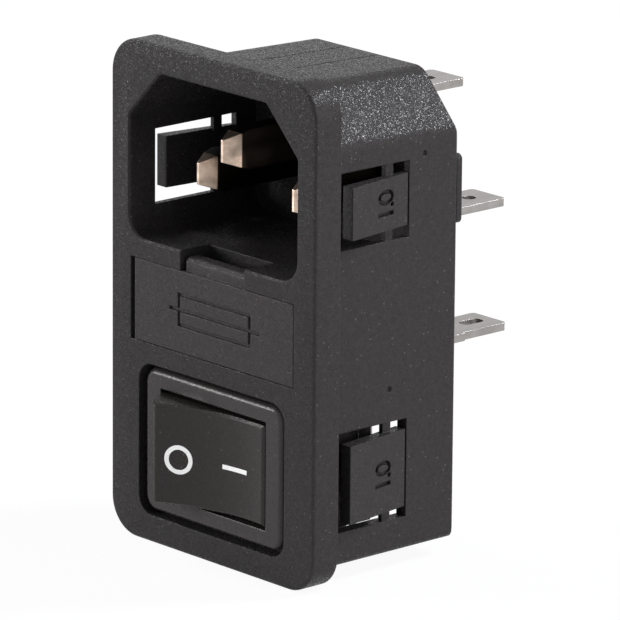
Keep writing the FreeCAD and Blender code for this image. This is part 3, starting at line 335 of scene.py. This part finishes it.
# the drawn lines and stains that all the metals share
metalWear = {
    "streak": (900.0, 120.0, 900.0),
    "cloudScale": 420.0,
    "wornRange": (0.35, 0.75),
    "roughnessSpread": 0.3,
    "depth": 0.000012,
    "edge": 0.00008,
}
paint = {
    "color": (0.86, 0.86, 0.86),
    "wornColor": (0.76, 0.76, 0.76),
    "roughness": 0.45,
    "wornScale": 2600.0,
    "wornRange": (0.58, 0.72),
    "depth": 0.000008,
    "edge": 0.00002,
}
glass = {"color": (0.93, 0.96, 0.95), "alpha": 0.32, "roughness": 0.03, "smearScale": 300.0, "smear": 0.06}


def plasticFinish(name, look):
    recipe = Recipe(name, look["color"], look["roughness"])
    recipe.set("Specular IOR Level", look["gloss"])
    fine = recipe.noise(look["grainScale"] * mottle["fineScale"], 2.0, 0.6)
    cloud = recipe.noise(mottle["cloudScale"], 3.0)
    blend = (cloud * mottle["cloudShare"] + fine * (1 - mottle["cloudShare"])).clamped(*mottle["toneRange"])
    tone = recipe.mix(blend, look["darkColor"], look["color"])
    flecks = 1 - recipe.cells(look["fleckScale"]).out("Distance").clamped(*mottle["fleckRange"])
    recipe.set("Base Color", recipe.mix(flecks * mottle["fleckStrength"], tone, look["fleckColor"]))
    # some grains are glossier than the rest, and catch a lamp as bright points
    chance = recipe.cells(look["grainScale"] * mottle["glintScale"]).out("Color")
    glints = recipe.node("ShaderNodeSeparateColor", None, {0: chance}).out("Red").clamped(*mottle["glintRange"])
    recipe.set("Roughness", look["roughness"] - glints * (look["roughness"] - look["glintRoughness"]))
    grains = recipe.cells(look["grainScale"])
    height = fine * mottle["fineHeight"] + grains.out("Distance") * mottle["grainHeight"]
    relief = recipe.relief(height, look["grainDepth"], look["edge"])
    recipe.set("Normal", recipe.leaning(relief, grains.out("Color"), look["sparkle"]))
    return recipe.material


def metalFinish(name, look, tip=None):
    recipe = Recipe(name, look["color"], look["roughness"], 1.0)
    lines = recipe.noise(1.0, 4.0, 0.65, recipe.stretched(metalWear["streak"]))
    cloud = recipe.noise(metalWear["cloudScale"], 3.0)
    worn = (lines * 0.6 + cloud * 0.5).clamped(*metalWear["wornRange"])
    tone = recipe.mix(worn, look["darkColor"], look["color"])
    if tip is not None:
        # painted shade: a contact pin keeps its metal colour on its taper and is painted nearly black behind it,
        # where it runs back into the dark cavity
        depth = recipe.node("ShaderNodeSeparateXYZ", None, {0: recipe.place}).out("Y")
        start = tip + pinCavityShade["taper"]
        tone = recipe.mix(depth.clamped(start, start + pinCavityShade["fade"]), tone, pinCavityShade["color"])
    recipe.set("Base Color", tone)
    recipe.set("Roughness", look["roughness"] + (cloud - 0.5) * metalWear["roughnessSpread"])
    recipe.set("Normal", recipe.relief(lines, metalWear["depth"], metalWear["edge"]))
    return recipe.material


def glassFinish(name, look):
    recipe = Recipe(name, look["color"], look["roughness"])
    recipe.set("Alpha", look["alpha"])
    recipe.set("Roughness", look["roughness"] + recipe.noise(look["smearScale"], 3.0) * look["smear"])
    return recipe.material


def paintFinish(name, look):
    recipe = Recipe(name, look["color"], look["roughness"])
    worn = recipe.noise(look["wornScale"], 3.0)
    recipe.set("Base Color", recipe.mix(worn.clamped(*look["wornRange"]), look["color"], look["wornColor"]))
    recipe.set("Normal", recipe.relief(worn, look["depth"], look["edge"]))
    return recipe.material


# by material slot, and by node where a piece differs from the rest of its slot
finishes = {
    "housing_plastic": plasticFinish("sparkBlack", sparkPlastic),
    "fuse_drawer": plasticFinish("drawerBlack", drawerPlastic),
    "rocker": plasticFinish("rockerBlack", rockerPlastic),
    "switch_frame": plasticFinish("bezelBlack", bezelPlastic),
    "switch_plastic": plasticFinish("smoothBlack", smoothPlastic),
    "base_plastic": plasticFinish("satinBlack", basePlastic),
    "tinned_brass": metalFinish("tinnedBrass", tinned),
    "nickelled_brass": metalFinish("nickelledBrass", nickelled),
    "bare_copper": metalFinish("bareCopper", copper),
    "silver_contact": metalFinish("silverContact", silver),
    "spring_steel": metalFinish("springSteel", steel),
    "fuse_glass": glassFinish("fuseGlass", glass),
    "fuse_cap": metalFinish("fuseCap", capMetal),
    "fuse_wire": metalFinish("fuseWire", fuseWire),
}
whitePaint = paintFinish("whitePaint", paint)
pinNodes = ("earth_pin", "neutral_pin", "line_pin")
for node in pinNodes:
    finishes[node] = metalFinish(node + "_metal", nickelled, tip=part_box(node)[0].y)
print("finishes ready")


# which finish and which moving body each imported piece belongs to
slotOf = {row["node"]: row["material_slot"] for row in frame["record"]["subparts"]}
bodyOf = {node: body for body, members in frame["record"]["behaviour"]["bodies"].items() for node in members}


# how near two points count as one, in metres, and the angles in degrees
cleaning = {"merge": 0.000002, "flat": 0.5, "smooth": 32}


def dropStored(mesh):
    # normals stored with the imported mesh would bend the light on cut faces
    for name in ("custom_normal", "sharp_face", "sharp_edge"):
        if name in mesh.attributes:
            mesh.attributes.remove(mesh.attributes[name])


def mergedCopy(node):
    mesh = nodes[node].data.copy()
    mesh.name = node + "_skin"
    bm = bmesh.new()
    bm.from_mesh(mesh)
    bmesh.ops.remove_doubles(bm, verts=bm.verts, dist=cleaning["merge"])
    bmesh.ops.dissolve_limit(bm, angle_limit=math.radians(cleaning["flat"]), verts=bm.verts, edges=bm.edges)
    bm.to_mesh(mesh)
    bm.free()
    mesh.materials.clear()
    dropStored(mesh)
    return link(node + "_skin", mesh)


def shadeByAngle(mesh):
    for face in mesh.polygons:
        face.use_smooth = True
    mesh.set_sharp_from_angle(angle=math.radians(cleaning["smooth"]))


def cutFrom(piece, cutters):
    for cutter in cutters:
        boolean = piece.modifiers.new("cut", "BOOLEAN")
        boolean.operation, boolean.solver, boolean.object = "DIFFERENCE", "EXACT", cutter
    bpy.context.view_layer.update()
    shaped = bpy.data.meshes.new_from_object(piece.evaluated_get(bpy.context.evaluated_depsgraph_get()))
    piece.modifiers.clear()
    old = piece.data
    piece.data = shaped
    shaped.name = piece.name
    bpy.data.meshes.remove(old)
    for cutter in cutters:
        bpy.data.objects.remove(cutter)


def finishNode(node, piece):
    piece.data.materials.clear()
    piece.data.materials.append(finishes.get(node, finishes[slotOf[node]]))
    shadeByAngle(piece.data)
    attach(piece, bodyOf[node])
    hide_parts(node)


def box(bm, low, high):
    made = bmesh.ops.create_cube(bm, size=1.0)["verts"]
    size, middle = [h - l for l, h in zip(low, high)], [(l + h) / 2 for l, h in zip(low, high)]
    bmesh.ops.scale(bm, verts=made, vec=size)
    bmesh.ops.translate(bm, verts=made, vec=middle)
    return made


def meshFrom(name, bm):
    bmesh.ops.scale(bm, verts=bm.verts, vec=(mm, mm, mm))
    bmesh.ops.recalc_face_normals(bm, faces=bm.faces)
    mesh = bpy.data.meshes.new(name)
    bm.to_mesh(mesh)
    bm.free()
    return link(name, mesh)


# the engraved and painted marks are in millimetres
fuseSign = {
    "left": -4.8, "right": 5.6, "top": -12.95, "bottom": -16.0,
    "lineLeft": -6.2, "lineRight": 7.1, "lineLevel": -14.5,
    "line": 0.36, "depth": 0.24, "clear": 0.5,
}


def signCutters():
    # a fuse symbol: a frame of four grooves with a long one through its middle
    look, front = fuseSign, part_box("fuse_drawer")[0].y / mm
    half, left, right = look["line"] / 2, look["left"], look["right"]
    near, far, clear = front - look["clear"], front + look["depth"], look["clear"]
    border = bmesh.new()
    box(border, (left - half, near, look["bottom"] - half), (right + half, far, look["top"] + half))
    hollow = bmesh.new()
    box(hollow, (left + half, near - clear, look["bottom"] + half), (right - half, far + clear, look["top"] - half))
    outer, inner = meshFrom("signFrame", border), meshFrom("signHollow", hollow)
    cutFrom(outer, [inner])
    line = bmesh.new()
    level = look["lineLevel"]
    box(line, (look["lineLeft"], near, level - half), (look["lineRight"], far, level + half))
    return [outer, meshFrom("signLine", line)]


# the panel's thickness, on the slope of each latch
latchNumber = {
    "words": "1.0", "size": 3.3, "spacing": 0.78, "bold": 0.055, "rounding": 3,
    "depth": 0.42, "clear": 0.4, "baseline": 8.15, "levels": (-2.15, -29.3),
    "half": 13.05, "proud": 1.32, "front": 2.02, "back": 10.35,
}


def numberCutter(level, side):
    # the digits run up the latch on the right side and down it on the left
    look = latchNumber
    lean = math.atan2(look["proud"], look["back"] - look["front"])
    text = bpy.data.curves.new("latchNumber", "FONT")
    text.body, text.size = look["words"], look["size"]
    text.align_x, text.space_character, text.offset = "CENTER", look["spacing"], look["bold"]
    text.extrude, text.resolution_u = look["clear"], look["rounding"]
    flat = link("latchNumber", text)
    bpy.context.view_layer.update()
    mesh = bpy.data.meshes.new_from_object(flat.evaluated_get(bpy.context.evaluated_depsgraph_get()))
    bpy.data.objects.remove(flat)
    up = Vector((side * math.sin(lean), -math.cos(lean), 0))
    run = Vector((0, 0, side))
    out = run.cross(up)
    reach = (look["back"] - look["baseline"]) * math.tan(lean)
    place = Vector((side * (look["half"] + reach), look["baseline"], level)) + out * (look["clear"] - look["depth"])
    turn = Matrix((run, up, out)).transposed().to_4x4()
    mesh.transform(Matrix.Scale(mm, 4) @ Matrix.Translation(place) @ turn)
    return link("numberCutter", mesh)


roofSeams = {
    "places": (-2.85, 1.85), "width": 0.19, "depth": 0.2, "clear": 1.0, "front": 5.6, "back": 16.4,
    "roof": 9.19, "draft": 0.5, "length": 17.42,
}


def seamCutters():
    # two fine mould seams that follow the roof's slope
    look, cutters = roofSeams, []
    half = look["width"] / 2
    for side in look["places"]:
        seam = bmesh.new()
        box(seam, (side - half, look["front"], -look["depth"]), (side + half, look["back"], look["clear"]))
        for vert in seam.verts:
            vert.co.z += look["roof"] + look["draft"] * (1 - vert.co.y / look["length"])
        cutters.append(meshFrom("seamCutter", seam))
    return cutters


# small round sinks in the right side
sidePits = {"places": ((12.5, 2.1), (8.2, -20.8)), "side": 13.05, "radius": 0.32, "depth": 0.3}


def pitCutters():
    look, cutters = sidePits, []
    for y, z in look["places"]:
        pit = bmesh.new()
        bmesh.ops.create_icosphere(pit, subdivisions=2, radius=look["radius"])
        bmesh.ops.translate(pit, verts=pit.verts, vec=(look["side"] + look["radius"] - look["depth"], y, z))
        cutters.append(meshFrom("pitCutter", pit))
    return cutters


pinPoint = {"setback": 0.25, "tipHalf": 0.15, "bodyHalf": 1.0, "taper": 1.72}


def sharpenPin(piece, node):
    # the pin's flat sides are ground to a narrow blunt edge
    look, tip = pinPoint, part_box(node)[0].y / mm + pinPoint["setback"]
    low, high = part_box(node)
    middle = (low.x + high.x) / 2 / mm
    lean = (look["bodyHalf"] - look["tipHalf"], look["taper"])
    bm = bmesh.new()
    bm.from_mesh(piece.data)
    cuts = [((middle, tip, 0), (0, -1, 0))]
    cuts += [((middle + side * look["tipHalf"], tip, 0), (side * lean[1], -lean[0], 0)) for side in (-1, 1)]
    for place, out in cuts:
        everything = bm.verts[:] + bm.edges[:] + bm.faces[:]
        cut = bmesh.ops.bisect_plane(bm, geom=everything, plane_co=Vector(place) * mm, plane_no=out, clear_outer=True)
        rim = [part for part in cut["geom_cut"] if isinstance(part, bmesh.types.BMEdge)]
        bmesh.ops.holes_fill(bm, edges=rim)
    bmesh.ops.recalc_face_normals(bm, faces=bm.faces)
    bm.to_mesh(piece.data)
    bm.free()


rockerMarks = {
    "ringX": -4.0, "ringZ": -0.35, "outer": 1.48, "inner": 1.03, "ringSteps": 48,
    "barLeft": 0.97, "barRight": 4.18, "barZ": -0.24, "barHeight": 0.46, "barSteps": 14,
    "proud": 0.02, "thick": 0.1, "dishCentre": -23.36, "dishRadius": 19.26,
    "pivot": (0.0, 0.34, -28.66), "tilt": 13.15,
}


def dishPlace(point):
    # rocker coordinates, bent onto the hollow face and tilted to where the rocker rests
    look = rockerMarks
    y = look["dishCentre"] + math.sqrt(look["dishRadius"] ** 2 - point.x ** 2) + point.y - look["proud"]
    turn = Matrix.Rotation(math.radians(look["tilt"]), 4, "Z")
    return (Matrix.Translation(look["pivot"]) @ turn) @ Vector((point.x, y, point.z))


def paintedMark(name, bm):
    sheet = bm.faces[:]
    made = bmesh.ops.extrude_face_region(bm, geom=sheet)["geom"]
    inner = [part for part in made if isinstance(part, bmesh.types.BMVert)]
    bmesh.ops.translate(bm, verts=inner, vec=(0, rockerMarks["thick"], 0))
    for vert in bm.verts:
        vert.co = dishPlace(vert.co)
    piece = meshFrom(name, bm)
    piece.data.materials.append(whitePaint)
    shadeByAngle(piece.data)
    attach(piece, bodyOf["rocker"])


def makeRockerMarks():
    look = rockerMarks
    ring = bmesh.new()
    ends = [ring.verts.new((look[radius], 0, 0)) for radius in ("inner", "outer")]
    ring.edges.new(ends)
    bmesh.ops.spin(ring, geom=ring.verts[:] + ring.edges[:], cent=(0, 0, 0), axis=(0, 1, 0),
                   angle=math.tau, steps=look["ringSteps"], use_merge=True)
    bmesh.ops.translate(ring, verts=ring.verts, vec=(look["ringX"], 0, look["ringZ"]))
    paintedMark("offMark", ring)
    bar = bmesh.new()
    bmesh.ops.create_grid(bar, x_segments=look["barSteps"], y_segments=1, size=0.5)
    bmesh.ops.rotate(bar, verts=bar.verts, cent=(0, 0, 0), matrix=Matrix.Rotation(math.radians(90), 3, "X"))
    bmesh.ops.scale(bar, verts=bar.verts, vec=(look["barRight"] - look["barLeft"], 1, look["barHeight"]))
    middle = (look["barLeft"] + look["barRight"]) / 2
    bmesh.ops.translate(bar, verts=bar.verts, vec=(middle, 0, look["barZ"]))
    paintedMark("onMark", bar)


for node in sorted(nodes):
    piece = mergedCopy(node)
    if node == "fuse_drawer":
        cutFrom(piece, signCutters())
    if node == "housing":
        cutFrom(piece, [numberCutter(level, side) for level in latchNumber["levels"] for side in (1, -1)])
        cutFrom(piece, seamCutters() + pitCutters())
    if node in pinNodes:
        sharpenPin(piece, node)
    finishNode(node, piece)
makeRockerMarks()
print("packed pieces dressed and marked")
